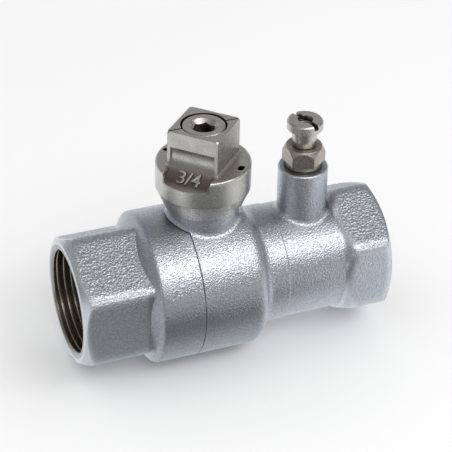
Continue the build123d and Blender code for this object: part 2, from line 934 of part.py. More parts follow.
cartridge_oring = oring_on_pipe(
    chamber_x + cartridge_groove_offset,
    oring_width,
    cartridge_r - oring_depth,
    chamber_r - oring_gap,
)
cartridge_oring.label = "cartridge_oring"
export_step(cartridge_oring, "parts/cartridge_oring.step")

with BuildPart() as poppet:
    revolve(
        section(
            PIPE,
            (retainer_x + retainer_stud_length + slip_gap, 0),
            (retainer_x + retainer_stud_length + slip_gap, retainer_stud_r + running_gap),
            (retainer_x, retainer_stud_r + running_gap),
            (retainer_x, poppet_spigot_r),
            (disc_x, poppet_spigot_r),
            (disc_x, poppet_r),
            (disc_back_x - poppet_edge, poppet_r),
            (disc_back_x, poppet_r - poppet_edge),
            (disc_back_x, poppet_stem_r),
            (cage_disc_x + poppet_stem_hold, poppet_stem_r),
            (cage_disc_x + poppet_stem_hold, 0),
        ),
        axis=Axis.X,
    )
    # recess that centres the spring
    revolve(
        pipe_ring(
            disc_back_x - spring_recess,
            disc_back_x,
            spring_r - spring_wire_r - slide_gap,
            spring_r + spring_wire_r + slide_gap,
        ),
        axis=Axis.X,
        mode=Mode.SUBTRACT,
    )
poppet.part.label = "poppet"
export_step(poppet.part, "parts/poppet.step")

with BuildPart() as poppet_seal:
    revolve(
        pipe_ring(
            retainer_x, disc_x, poppet_spigot_r + running_gap, poppet_seal_r
        ),
        axis=Axis.X,
    )
poppet_seal.part.label = "poppet_seal"
export_step(poppet_seal.part, "parts/poppet_seal.step")

with BuildPart() as seal_retainer:
    revolve(
        section(
            PIPE,
            (retainer_x + retainer_stud_length, 0),
            (retainer_x + retainer_stud_length, retainer_stud_r),
            (retainer_x, retainer_stud_r),
            (retainer_x, poppet_nose_r),
            (retainer_x - poppet_nose_length + poppet_nose_edge, poppet_nose_r),
            (retainer_x - poppet_nose_length, poppet_nose_r - 2 * poppet_nose_edge),
            (retainer_x - poppet_nose_length, 0),
        ),
        axis=Axis.X,
    )
    with BuildSketch(Plane.YZ.offset(retainer_x - poppet_nose_length)):
        Rectangle(retainer_slot_length, retainer_slot_width)
    extrude(amount=retainer_slot_depth, mode=Mode.SUBTRACT)
seal_retainer.part.label = "seal_retainer"
export_step(seal_retainer.part, "parts/seal_retainer.step")

# ---------------------------------------------------------------- check valve spring
spring_start_x = disc_back_x - spring_recess + spring_wire_r + slide_gap / 2
spring_end_x = cage_disc_x - spring_wire_r - slide_gap / 2
spring_length = spring_end_x - spring_start_x
with BuildPart() as check_spring:
    with BuildLine() as coil:
        Helix(
            spring_length / spring_turns,
            spring_length,
            spring_r,
            center=(spring_start_x, 0, 0),
            direction=(1, 0, 0),
        )
    with BuildSketch(Plane(origin=coil.line @ 0, z_dir=coil.line % 0)):
        Circle(spring_wire_r)
    sweep(path=coil.line)
check_spring.part.label = "check_spring"
export_step(check_spring.part, "parts/check_spring.step")

# ---------------------------------------------------------------- spring cage
with BuildPart() as spring_cage:
    for ring_x in (cage_x, snap_groove_x - cage_ring_length):
        revolve(
            pipe_ring(ring_x, ring_x + cage_ring_length, cartridge_r - cage_wall, cartridge_r),
            axis=Axis.X,
        )
    revolve(
        pipe_ring(
            cage_disc_x, snap_groove_x, poppet_stem_r + running_gap, cage_hub_r
        ),
        axis=Axis.X,
    )
    revolve(
        pipe_ring(
            cage_disc_x,
            cage_disc_x + cage_disc_thickness,
            poppet_stem_r + running_gap,
            cage_disc_r,
        ),
        axis=Axis.X,
    )
    # four ribs along the chamber wall, clear of the test port, and four arms to the hub
    with BuildSketch(Plane.YZ.offset(cage_x)):
        with PolarLocations(cartridge_r - cage_wall / 2, 4, start_angle=45):
            Rectangle(cage_wall, cage_rib_width)
    extrude(amount=snap_groove_x - cage_x)
    with BuildSketch(Plane.YZ.offset(snap_groove_x - 2 * cage_ring_length)):
        with PolarLocations((cage_hub_r + cartridge_r) / 2 - cage_wall / 2, 4, start_angle=45):
            Rectangle(cartridge_r - cage_hub_r, cage_rib_width)
    extrude(amount=2 * cage_ring_length)
    revolve(
        pipe_ring(cage_x, snap_groove_x, 0, cartridge_r),
        axis=Axis.X,
        mode=Mode.INTERSECT,
    )
    revolve(
        pipe_ring(cage_disc_x, snap_groove_x, 0, poppet_stem_r + running_gap),
        axis=Axis.X,
        mode=Mode.SUBTRACT,
    )
spring_cage.part.label = "spring_cage"
export_step(spring_cage.part, "parts/spring_cage.step")

# ---------------------------------------------------------------- snap ring
def snap_ears(radius):
    """A circle at each of the snap ring's two ears, either side of its gap."""
    reach = snap_ring_inner_r - snap_ear_inset
    with BuildSketch(Plane.YZ.offset(snap_groove_x)) as ears:
        for side_turn in (-1, 1):
            turned = 270 + side_turn * (snap_ring_gap / 2 + snap_ear_turn)
            with PolarLocations(reach, 1, start_angle=turned):
                Circle(radius)
    return ears.sketch


with BuildPart() as snap_ring:
    revolve(
        pipe_ring(
            snap_groove_x,
            snap_groove_x + snap_ring_thickness,
            snap_ring_inner_r,
            snap_ring_outer_r,
        ),
        axis=Axis.X,
    )
    extrude(snap_ears(snap_ear_r), amount=snap_ring_thickness)
    half_gap = radians(snap_ring_gap / 2)
    gap_reach = 2 * chamber_r
    with BuildSketch(Plane.YZ.offset(snap_groove_x)):
        with BuildLine():
            Polyline(
                (0, 0),
                (-gap_reach * sin(half_gap), -gap_reach * cos(half_gap)),
                (gap_reach * sin(half_gap), -gap_reach * cos(half_gap)),
                close=True,
            )
        make_face()
    extrude(amount=snap_ring_thickness, mode=Mode.SUBTRACT)
    extrude(snap_ears(snap_ear_hole_r), amount=snap_ring_thickness, mode=Mode.SUBTRACT)
snap_ring.part.label = "snap_ring"
export_step(snap_ring.part, "parts/snap_ring.step")

# ---------------------------------------------------------------- test cock
with BuildPart() as plug_body:
    revolve(
        section(
            COCK,
            (plug_seat_r, plug_low_z),
            (plug_thread_r - plug_tip_chamfer, plug_low_z),
            (plug_thread_r, plug_low_z + plug_tip_chamfer),
            (plug_thread_r, cock_recess_floor - plug_runout),
            (plug_waist_r, cock_recess_floor),
            (plug_waist_r, plug_flange_z),
            (plug_flange_r, plug_flange_z),
            (plug_flange_r, plug_hex_z),
            (plug_bore_r, plug_hex_z),
            (plug_bore_r, plug_seat_z + plug_seat_rise),
            (plug_seat_r, plug_seat_z - plug_seat_drop),
        ),
        axis=COCK_AXIS,
    )
    plug_hexagon = hexagon(level(cock_x, plug_hex_z), plug_hex_flats, plug_hex_angle)
    extrude(plug_hexagon, amount=plug_hex_height)
    hex_corner_r = plug_hex_flats / sqrt(3)
    hex_top_drop = (hex_corner_r - plug_hex_top_r) * tan(radians(plug_hex_top_slope))
    revolve(
        section(
            COCK,
            (plug_hex_top_r, plug_top),
            (2 * hex_corner_r, plug_top),
            (2 * hex_corner_r, plug_top - hex_top_drop),
            (hex_corner_r, plug_top - hex_top_drop),
        ),
        axis=COCK_AXIS,
        mode=Mode.SUBTRACT,
    )
    with BuildSketch(level(cock_x, plug_hex_z)):
        Circle(plug_bore_r)
    extrude(amount=plug_hex_height, mode=Mode.SUBTRACT)
plug_body.part.label = "plug_body"
export_step(plug_body.part, "parts/plug_body.step")

plug_oring = oring(
    COCK,
    COCK_AXIS,
    cock_recess_floor,
    plug_oring_thickness,
    plug_waist_r,
    cock_recess_r - slip_gap,
)
plug_oring.label = "plug_oring"
export_step(plug_oring, "parts/plug_oring.step")

with BuildPart() as bleed_screw:
    revolve(
        section(
            COCK,
            (0, bleed_tip_z),
            (bleed_tip_r, bleed_tip_z),
            (bleed_shank_r, bleed_tip_z + bleed_cone_height),
            (bleed_shank_r, plug_top + slip_gap),
            (bleed_neck_r, plug_top + slip_gap),
            (bleed_neck_r, bleed_neck_z),
            (bleed_flare_r, bleed_flare_z),
            (bleed_head_r, bleed_head_z),
            (bleed_head_r, bleed_top_z - bleed_head_edge),
            (bleed_head_r - bleed_head_edge, bleed_top_z),
            (0, bleed_top_z),
        ),
        axis=COCK_AXIS,
    )
    # groove for the small O-ring
    revolve(
        post_ring(
            COCK,
            bleed_groove_z - running_gap,
            bleed_groove_z + bleed_oring_width + running_gap,
            bleed_shank_r - bleed_oring_depth,
            bleed_shank_r + slip_gap,
        ),
        axis=COCK_AXIS,
        mode=Mode.SUBTRACT,
    )
    # screwdriver slot, recess and the drain hole down to the cone
    with BuildSketch(level(cock_x, bleed_top_z - bleed_slot_depth)):
        Rectangle(2 * bleed_head_r, bleed_slot_width, rotation=bleed_slot_angle)
    extrude(amount=bleed_slot_depth, mode=Mode.SUBTRACT)
    revolve(
        section(
            COCK,
            (0, plug_seat_z + bleed_drain_floor),
            (bleed_drain_r, plug_seat_z + bleed_drain_floor),
            (bleed_drain_r, bleed_top_z - bleed_recess_depth - bleed_recess_slope),
            (bleed_recess_r, bleed_top_z - bleed_recess_depth),
            (bleed_recess_r, bleed_top_z),
            (0, bleed_top_z),
        ),
        axis=COCK_AXIS,
        mode=Mode.SUBTRACT,
    )
    with BuildSketch(Plane.XZ.offset(-2 * bleed_shank_r)):
        with Locations((cock_x, plug_seat_z + bleed_cross_hole_rise)):
            Circle(bleed_cross_hole_r)
    extrude(amount=4 * bleed_shank_r, mode=Mode.SUBTRACT)
bleed_screw.part.label = "bleed_screw"
export_step(bleed_screw.part, "parts/bleed_screw.step")

bleed_oring = oring(
    COCK,
    COCK_AXIS,
    bleed_groove_z,
    bleed_oring_width,
    bleed_shank_r - bleed_oring_depth + oring_gap,
    plug_bore_r - oring_gap,
)
bleed_oring.label = "bleed_oring"
export_step(bleed_oring, "parts/bleed_oring.step")
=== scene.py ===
# %% [markdown]
# # A chromed ball valve with a check valve and a test cock
#
# The object is a backflow preventer for an irrigation pipe: a forged brass body, chromed and blasted
# to a satin grain, with a square key cap on its stem and a small bleed screw beside it. The packed
# CAD model gives every piece its place and its size. This lesson gives them their finish, and adds
# what CAD leaves plain: the turns of the pipe threads and the wire of the spring.

# %% Load the frame
import json
import math
import bpy
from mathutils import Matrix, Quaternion, Vector


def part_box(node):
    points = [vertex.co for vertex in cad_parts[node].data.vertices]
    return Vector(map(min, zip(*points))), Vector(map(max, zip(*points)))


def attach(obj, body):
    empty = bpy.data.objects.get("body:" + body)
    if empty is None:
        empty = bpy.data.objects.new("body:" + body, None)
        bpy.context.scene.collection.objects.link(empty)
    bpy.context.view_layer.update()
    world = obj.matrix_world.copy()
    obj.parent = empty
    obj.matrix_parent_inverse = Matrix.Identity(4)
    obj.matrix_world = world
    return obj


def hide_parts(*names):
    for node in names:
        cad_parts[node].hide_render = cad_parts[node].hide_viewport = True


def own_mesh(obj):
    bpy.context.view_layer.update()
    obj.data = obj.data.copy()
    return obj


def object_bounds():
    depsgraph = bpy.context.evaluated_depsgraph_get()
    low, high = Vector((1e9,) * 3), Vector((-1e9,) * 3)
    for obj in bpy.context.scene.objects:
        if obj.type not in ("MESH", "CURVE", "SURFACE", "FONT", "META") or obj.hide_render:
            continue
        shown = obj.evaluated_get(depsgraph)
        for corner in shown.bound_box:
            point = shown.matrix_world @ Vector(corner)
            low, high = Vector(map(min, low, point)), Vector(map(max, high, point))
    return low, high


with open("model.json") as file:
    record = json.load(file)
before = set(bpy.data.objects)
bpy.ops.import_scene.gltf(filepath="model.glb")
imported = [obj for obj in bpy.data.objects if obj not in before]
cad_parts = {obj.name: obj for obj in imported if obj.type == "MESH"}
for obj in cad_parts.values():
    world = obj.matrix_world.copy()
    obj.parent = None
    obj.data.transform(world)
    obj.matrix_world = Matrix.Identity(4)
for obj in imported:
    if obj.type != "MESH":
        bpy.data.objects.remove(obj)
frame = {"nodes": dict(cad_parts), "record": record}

cad_low, cad_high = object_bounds()
nodes = frame["nodes"]
MM = 0.001
print("CAD box in mm:", [round(v / MM, 2) for v in (*cad_low, *cad_high)])

# %% [markdown]
# ## Camera
#
# The camera comes first, because a metal shows its surroundings, and what it shows depends on where
# it is seen from. It stands in front of the valve, to the left of the inlet and well above the pipe.
# The lens is long, so that the valve fills most of the frame.

# %% Camera
EYE = Vector((-0.0993, -0.3524, 0.2637))
AIM_SHIFT = Vector((0.001, 0, 0.001))
LENS = 142
ROLL = math.radians(1.34)
aim = (cad_low + cad_high) / 2 + AIM_SHIFT
camera_data = bpy.data.cameras.new("camera")
camera_data.sensor_width = 36
camera_data.lens = LENS
camera_data.clip_start = 0.01
camera_data.clip_end = 20
camera = bpy.data.objects.new("camera", camera_data)
bpy.context.scene.collection.objects.link(camera)
camera.location = EYE
camera.rotation_mode = "QUATERNION"
level_view = (aim - EYE).to_track_quat("-Z", "Y")
camera.rotation_quaternion = level_view @ Quaternion((0, 0, 1), ROLL)
bpy.context.scene.camera = camera
print("camera to valve:", round((aim - EYE).length, 3), "m")

# %% [markdown]
# ## Floor and light
#
# Chrome has no look of its own: it shows what stands round about it. So the studio is built for the
# metal. One large soft lamp stands high in front, where the round housing turns its upper front to
# it, and draws one broad bright stripe along the pipe. The rest of what the metal mirrors is a dim
# room in bands, and a floor with a dark card in front of the valve. A Light Path node lets the eye
# see a plain pale floor instead, because only glossy rays meet the card and the bands.

# %% A helper for node trees
def add_node(tree, kind, inputs=None, **settings):
    """Adds a node, sets its fields, and fills or links its inputs."""
    node = tree.nodes.new(kind)
    for name, value in settings.items():
        setattr(node, name, value)
    for name, value in (inputs or {}).items():
        if isinstance(value, bpy.types.NodeSocket):
            tree.links.new(value, node.inputs[name])
        else:
            node.inputs[name].default_value = value
    return node


def new_material(name):
    """An empty material, with its node tree and its output node."""
    material = bpy.data.materials.new(name)
    material.use_nodes = True
    tree = material.node_tree
    tree.nodes.clear()
    output = add_node(tree, "ShaderNodeOutputMaterial")
    return material, tree, output


# %% Helpers for numbers and colours
def grey(level, blue=1.0):
    """A grey that leans to blue where blue is above 1."""
    return (level * (2 - blue), level, level * blue, 1)


def math_node(tree, operation, *values):
    """The output of one Math node."""
    return add_node(
        tree, "ShaderNodeMath", dict(enumerate(values)), operation=operation
    ).outputs[0]


def ramp(tree, value, low, high, to_low=0.0, to_high=1.0):
    """A clamped straight ramp of a value."""
    return add_node(
        tree,
        "ShaderNodeMapRange",
        {"Value": value, "From Min": low, "From Max": high, "To Min": to_low, "To Max": to_high},
    ).outputs["Result"]


def mix_colour(tree, share, first, second):
    """A mix of two colours."""
    return add_node(
        tree, "ShaderNodeMix", {0: share, 6: first, 7: second}, data_type="RGBA"
    ).outputs[2]


def mix_value(tree, share, first, second):
    """A mix of two numbers."""
    return add_node(tree, "ShaderNodeMix", {0: share, 2: first, 3: second}).outputs[0]


print("a grey that leans to blue:", [round(part, 2) for part in grey(0.5, 1.04)])


# %% Helpers for places and directions
def vector_math(tree, operation, *vectors):
    """The output of one Vector Math node: a number for a length or a dot product."""
    node = add_node(tree, "ShaderNodeVectorMath", dict(enumerate(vectors)), operation=operation)
    return node.outputs["Value" if operation in ("LENGTH", "DOT_PRODUCT") else "Vector"]


def object_place(tree):
    """The place of a shaded point in its own piece."""
    return add_node(tree, "ShaderNodeTexCoord").outputs["Object"]


def split(tree, vector):
    """The X, Y and Z of a vector, as three sockets."""
    return add_node(tree, "ShaderNodeSeparateXYZ", {"Vector": vector}).outputs


# %% Floor
FLOOR_HALF = 3.0
floor_mesh = bpy.data.meshes.new("floor")
floor_corners = [(-1, -1), (1, -1), (1, 1), (-1, 1)]
floor_points = [(x * FLOOR_HALF, y * FLOOR_HALF, cad_low.z) for x, y in floor_corners]
floor_mesh.from_pydata(floor_points, [], [(0, 1, 2, 3)])
floor = bpy.data.objects.new("floor", floor_mesh)
bpy.context.scene.collection.objects.link(floor)

FLOOR_PALE = grey(0.90)
MIRRORED_PALE = grey(0.95, 1.04)
MIRRORED_DARK = grey(0.12, 1.08)
CARD_CENTRE = (22 * MM, -80 * MM, 0)
CARD_REACH = (72 * MM, 60 * MM, 1)
CARD_FADE = (0.6, 1.5)
LEFT_FADE = (-170 * MM, -100 * MM)
LEFT_SHARE = 0.25


def floor_material():
    """Pale to the eye; the metal also mirrors a dark card that lies in front of the valve."""
    material, tree, output = new_material("pale_floor")
    place = object_place(tree)
    from_card = vector_math(tree, "SUBTRACT", place, CARD_CENTRE)
    flat = vector_math(tree, "MULTIPLY", from_card, (1, 1, 0))
    distance = vector_math(tree, "LENGTH", vector_math(tree, "DIVIDE", flat, CARD_REACH))
    beyond_card = add_node(
        tree,
        "ShaderNodeMapRange",
        {"Value": distance, "From Min": CARD_FADE[0], "From Max": CARD_FADE[1]},
        interpolation_type="SMOOTHSTEP",
    ).outputs["Result"]
    left_shade = ramp(tree, split(tree, place)["X"], *LEFT_FADE, LEFT_SHARE, 1.0)
    pale_share = math_node(tree, "MULTIPLY", beyond_card, left_shade)
    mirrored = mix_colour(tree, pale_share, MIRRORED_DARK, MIRRORED_PALE)
    seen = add_node(tree, "ShaderNodeBsdfDiffuse", {"Color": FLOOR_PALE}).outputs[0]
    glow = add_node(tree, "ShaderNodeEmission", {"Color": mirrored}).outputs[0]
    is_glossy = add_node(tree, "ShaderNodeLightPath").outputs["Is Glossy Ray"]
    mixed = add_node(tree, "ShaderNodeMixShader", {0: is_glossy, 1: seen, 2: glow})
    tree.links.new(mixed.outputs[0], output.inputs["Surface"])
    return material


floor_mesh.materials.append(floor_material())
print("floor at", round(cad_low.z / MM, 2), "mm, under the hexagons")

# %% Room
ROOM_LIGHT = grey(0.86)
# how light the metal sees the room, by the angle in degrees from the front horizon over the top
ROOM_MIRRORED = {
    0: 0.14,
    14: 0.20,
    36: 0.52,
    62: 0.58,
    76: 0.40,
    92: 0.34,
    108: 0.24,
    124: 0.18,
    144: 0.32,
    180: 0.80,
}


def light_room():
    """An even room for the floor; in the metal, bands that run along the valve."""
    world = bpy.data.worlds.new("studio")
    bpy.context.scene.world = world
    world.use_nodes = True
    tree = world.node_tree
    tree.nodes.clear()
    parts = split(tree, add_node(tree, "ShaderNodeTexCoord").outputs["Generated"])
    forward = math_node(tree, "MULTIPLY", parts["Y"], -1.0)
    angle = math_node(tree, "ARCTAN2", parts["Z"], forward)
    bands = add_node(tree, "ShaderNodeValToRGB", {"Fac": ramp(tree, angle, 0.0, math.pi)})
    stops = bands.color_ramp.elements
    stops.remove(stops[1])
    for degrees, level in ROOM_MIRRORED.items():
        stop = stops[0] if degrees == 0 else stops.new(degrees / 180)
        stop.color = grey(level, 1.03)
    is_glossy = add_node(tree, "ShaderNodeLightPath").outputs["Is Glossy Ray"]
    colour = mix_colour(tree, is_glossy, ROOM_LIGHT, bands.outputs["Color"])
    background = add_node(tree, "ShaderNodeBackground", {"Color": colour})
    output = add_node(tree, "ShaderNodeOutputWorld")
    tree.links.new(background.outputs[0], output.inputs["Surface"])


light_room()
bpy.context.scene.view_settings.view_transform = "Standard"
print("room bands:", len(ROOM_MIRRORED), "darkest:", min(ROOM_MIRRORED.values()))


# %% Lamp
def add_lamp(name, way, distance, length, width, power):
    """A long area lamp, parallel to the pipe, that looks at the valve from the direction way."""
    data = bpy.data.lights.new(name, "AREA")
    data.shape = "RECTANGLE"
    data.size = length
    data.size_y = width
    data.energy = power
    lamp = bpy.data.objects.new(name, data)
    bpy.context.scene.collection.objects.link(lamp)
    direction = Vector(way).normalized()
    lamp.location = aim + direction * distance
    lamp.rotation_mode = "QUATERNION"
    lamp.rotation_quaternion = direction.to_track_quat("Z", "Y")
    return lamp


add_lamp("key_lamp", way=(0.20, -0.62, 0.70), distance=0.80, length=1.1, width=0.30, power=2.9)

# %% [markdown]
# ## Effects that several finishes share
#
# Each effect is a shader node group with named inputs, so that a finish only states its own values.
# Blasted grain is the dimpled skin that shot leaves on a forging. Turned marks are the fine rings
# that a lathe tool leaves. Rounded edges catch the light along every corner, because no real edge is
# sharp. Recess shade masks the corners and holes, by ambient occlusion, for painted shade there.

# %% A helper for shader groups
FLOAT = "NodeSocketFloat"


def new_group(name, inputs, outputs):
    """An empty shader group; inputs maps names to starting values, outputs names to kinds."""
    group = bpy.data.node_groups.new(name, "ShaderNodeTree")
    for label, value in inputs.items():
        kind = FLOAT
        if isinstance(value, tuple):
            kind = "NodeSocketColor" if len(value) == 4 else "NodeSocketVector"
        socket = group.interface.new_socket(name=label, in_out="INPUT", socket_type=kind)
        socket.default_value = value
    for label, kind in outputs.items():
        group.interface.new_socket(name=label, in_out="OUTPUT", socket_type=kind)
    start = add_node(group, "NodeGroupInput")
    end = add_node(group, "NodeGroupOutput")
    return group, start, end


# %% Blasted grain
# a fade is where a mask begins and where it is full
SPECK_FADE = (0.42, 0.58)
CLOUD_FADE = (0.3, 0.7)


def blasted_grain_group():
    """Dimples of shot over the skin, and the light and dark specks that they make."""
    group, start, end = new_group(
        "blasted_grain",
        {"Grain size": 0.0006, "Cloud size": 0.006},
        {"Height": FLOAT, "Speck": FLOAT, "Cloud": FLOAT},
    )
    place = object_place(group)
    scale = math_node(group, "DIVIDE", 1.0, start.outputs["Grain size"])
    cloud_scale = math_node(group, "DIVIDE", 1.0, start.outputs["Cloud size"])
    dimples = add_node(
        group,
        "ShaderNodeTexVoronoi",
        {"Vector": place, "Scale": scale, "Smoothness": 0.7},
        feature="SMOOTH_F1",
    ).outputs["Distance"]
    rubble = add_node(
        group, "ShaderNodeTexNoise", {"Vector": place, "Scale": scale, "Detail": 2.0}
    ).outputs["Fac"]
    cloud = add_node(
        group, "ShaderNodeTexNoise", {"Vector": place, "Scale": cloud_scale, "Detail": 3.0}
    ).outputs["Fac"]
    height = math_node(group, "ADD", dimples, rubble)
    group.links.new(height, end.inputs["Height"])
    group.links.new(ramp(group, rubble, *SPECK_FADE), end.inputs["Speck"])
    group.links.new(ramp(group, cloud, *CLOUD_FADE), end.inputs["Cloud"])
    return group


grain_group = blasted_grain_group()
print("blasted grain gives:", [o.name for o in grain_group.nodes["Group Output"].inputs if o.name])


# %% Turned marks
def turned_marks_group():
    """Fine rings at even steps along a coordinate, with a little unevenness."""
    group, start, end = new_group(
        "turned_marks", {"Coordinate": 0.0, "Step": 0.0002}, {"Height": FLOAT}
    )
    wander = add_node(
        group,
        "ShaderNodeTexNoise",
        {"W": start.outputs["Coordinate"], "Scale": 900.0, "Detail": 2.0},
        noise_dimensions="1D",
    ).outputs["Fac"]
    phase = math_node(group, "DIVIDE", start.outputs["Coordinate"], start.outputs["Step"])
    wave = math_node(group, "SINE", math_node(group, "MULTIPLY", phase, 2 * math.pi))
    rings = math_node(group, "MULTIPLY_ADD", wave, 0.35, wander)
    group.links.new(rings, end.inputs["Height"])
    return group


marks_group = turned_marks_group()
print("turned marks:", len(marks_group.nodes), "nodes")


# %% Rounded edges
EDGE_FADE = (0.999, 0.965)


def rounded_edges_group():
    """A normal that rolls over the edges, and a mask of where it does."""
    group, start, end = new_group(
        "rounded_edges", {"Radius": 0.0003}, {"Normal": "NodeSocketVector", "Edge": FLOAT}
    )
    rolled = add_node(
        group, "ShaderNodeBevel", {"Radius": start.outputs["Radius"]}, samples=6
    ).outputs["Normal"]
    true_normal = add_node(group, "ShaderNodeNewGeometry").outputs["Normal"]
    along = vector_math(group, "DOT_PRODUCT", rolled, true_normal)
    group.links.new(rolled, end.inputs["Normal"])
    group.links.new(ramp(group, along, *EDGE_FADE), end.inputs["Edge"])
    return group


edges_group = rounded_edges_group()
print("rounded edges:", len(edges_group.nodes), "nodes")


# %% Recess shade
CORNER_FADE = (0.85, 0.35)
HOLE_FADE = (0.50, 0.25)


def recess_shade_group():
    """Masks of the corners and of the deep holes, by ambient occlusion, for painted shade."""
    group, start, end = new_group(
        "recess_shade", {"Reach": 0.002}, {"Recess": FLOAT, "Deep": FLOAT}
    )
    open_sky = add_node(
        group, "ShaderNodeAmbientOcclusion", {"Distance": start.outputs["Reach"]}, samples=6
    ).outputs["AO"]
    group.links.new(ramp(group, open_sky, *CORNER_FADE), end.inputs["Recess"])
    group.links.new(ramp(group, open_sky, *HOLE_FADE), end.inputs["Deep"])
    return group


recess_group = recess_shade_group()
print("groups:", [g.name for g in bpy.data.node_groups])


# %% Helpers that place an effect
def use_group(tree, group, **inputs):
    """Places a shared effect in a material; an input's name is written with underscores."""
    node = add_node(tree, "ShaderNodeGroup", node_tree=group)
    for name, value in inputs.items():
        socket = node.inputs[name.replace("_", " ")]
        if isinstance(value, bpy.types.NodeSocket):
            tree.links.new(value, socket)
        else:
            socket.default_value = value
    return node.outputs


def finish_surface(tree, output, colour, roughness, normal, **constants):
    """The Principled shader of a finish; constants go straight on its own sockets."""
    shader = add_node(
        tree,
        "ShaderNodeBsdfPrincipled",
        {"Base Color": colour, "Roughness": roughness, "Normal": normal},
    )
    for name, value in constants.items():
        shader.inputs[name.replace("_", " ")].default_value = value
    tree.links.new(shader.outputs[0], output.inputs["Surface"])


def bump(tree, height, depth, normal):
    """A Bump node whose depth is in metres."""
    return add_node(
        tree,
        "ShaderNodeBump",
        {"Strength": 1.0, "Distance": depth, "Height": height, "Normal": normal},
    ).outputs["Normal"]


# %% [markdown]
# ## Chrome on a blasted forging
#
# The body and the end connector are forged brass. The outside is blasted, which leaves a fine dimpled
# grain, and then chromed to a cool satin. The hexagons are coarser than the round parts. The bores,
# the end faces and the chamfers are turned after forging, so they are smooth, with fine rings, and
# the chrome inside is thin enough to look warm; the bores also get painted shade. The corners get a
# painted highlight, the creases painted shade. One material does both: masks made from the piece's
# own coordinates say which part of the surface is turned and which is a hexagon.

# %% Where the chrome is turned, and where it is a hexagon
BORE_LIMIT = 14.6 * MM
RIM_RADIUS = 15.3 * MM
CHAMFER_SLOPE = math.tan(math.radians(30))
TURNED_FADE = (0.10 * MM, 0.03 * MM)
HEX_FADE = 0.3 * MM
valve_length = cad_high.x
inlet_hex_end = 16.3 * MM
outlet_hex_start = valve_length - 13 * MM


def chrome_masks(tree, parts):
    """Masks of all turned surfaces, of the bores among them, and of the hexagons."""
    across = add_node(
        tree, "ShaderNodeCombineXYZ", {"Y": parts["Y"], "Z": parts["Z"]}
    ).outputs[0]
    radius = vector_math(tree, "LENGTH", across)
    # how deep a point lies behind the turned cone of each end, for the end faces and chamfers
    cone = math_node(
        tree, "MULTIPLY", math_node(tree, "SUBTRACT", radius, RIM_RADIUS), CHAMFER_SLOPE
    )
    cone = math_node(tree, "MAXIMUM", cone, 0.0)
    from_outlet = math_node(tree, "SUBTRACT", valve_length, parts["X"])
    nearest_end = math_node(tree, "MINIMUM", parts["X"], from_outlet)
    behind_cone = math_node(tree, "SUBTRACT", nearest_end, cone)
    turned_end = ramp(tree, behind_cone, *TURNED_FADE)
    turned_bore = ramp(tree, radius, BORE_LIMIT + 0.1 * MM, BORE_LIMIT)
    turned = math_node(tree, "MAXIMUM", turned_end, turned_bore)
    inlet_hex = ramp(tree, parts["X"], inlet_hex_end + HEX_FADE, inlet_hex_end - HEX_FADE)
    outlet_hex = ramp(
        tree, parts["X"], outlet_hex_start - HEX_FADE, outlet_hex_start + HEX_FADE
    )
    return turned, turned_bore, math_node(tree, "MAXIMUM", inlet_hex, outlet_hex)


hexagon_ends = [round(end / MM, 1) for end in (inlet_hex_end, outlet_hex_start)]
print("the hexagons end at, in mm:", hexagon_ends)

# %% Satin chrome
CHROME = (0.64, 0.66, 0.69, 1)
CHROME_DARK = (0.24, 0.26, 0.29, 1)
CHROME_EDGE_HIGHLIGHT = (0.88, 0.90, 0.92, 1)
CHROME_CREASE_SHADE = (0.20, 0.215, 0.24, 1)
CHROME_BORE = (0.36, 0.32, 0.275, 1)
# in each pair, the first value is for the round parts and the second for the hexagons
GRAIN_SIZE = (0.38 * MM, 0.52 * MM)
GRAIN_DEPTH = (0.085 * MM, 0.13 * MM)
EDGE_RADIUS = (0.35 * MM, 3.0 * MM)
RUBBED_AND_HIGHLIT_SHARE = (0.2, 1.0)
# how much of its dark specks a hexagon's flat shows where it looks sideways, and where it looks up
HEX_SPECKS = (0.12, 0.65)
ROUND_SPECKS = 0.35
UPWARD_FADE = (0.35, 0.70)
# of the bottom of a dimple and of its rim
SKIN_ROUGHNESS = (0.37, 0.27)
HEX_ROUGHER = 0.10
CLOUD_ROUGHER = 0.05
RUBBED_ROUGHER = -0.22
TURNED_ROUGHNESS = 0.24


def chrome_roughness(tree, speck, cloud, hexagon, rubbed_and_highlit):
    """The blasted skin: rougher on the hexagons, smoother on the corners that handling polishes."""
    rough = ramp(tree, speck, 0.0, 1.0, *SKIN_ROUGHNESS)
    rough = math_node(tree, "MULTIPLY_ADD", hexagon, HEX_ROUGHER, rough)
    rough = math_node(tree, "MULTIPLY_ADD", cloud, CLOUD_ROUGHER, rough)
    return math_node(tree, "MULTIPLY_ADD", rubbed_and_highlit, RUBBED_ROUGHER, rough)


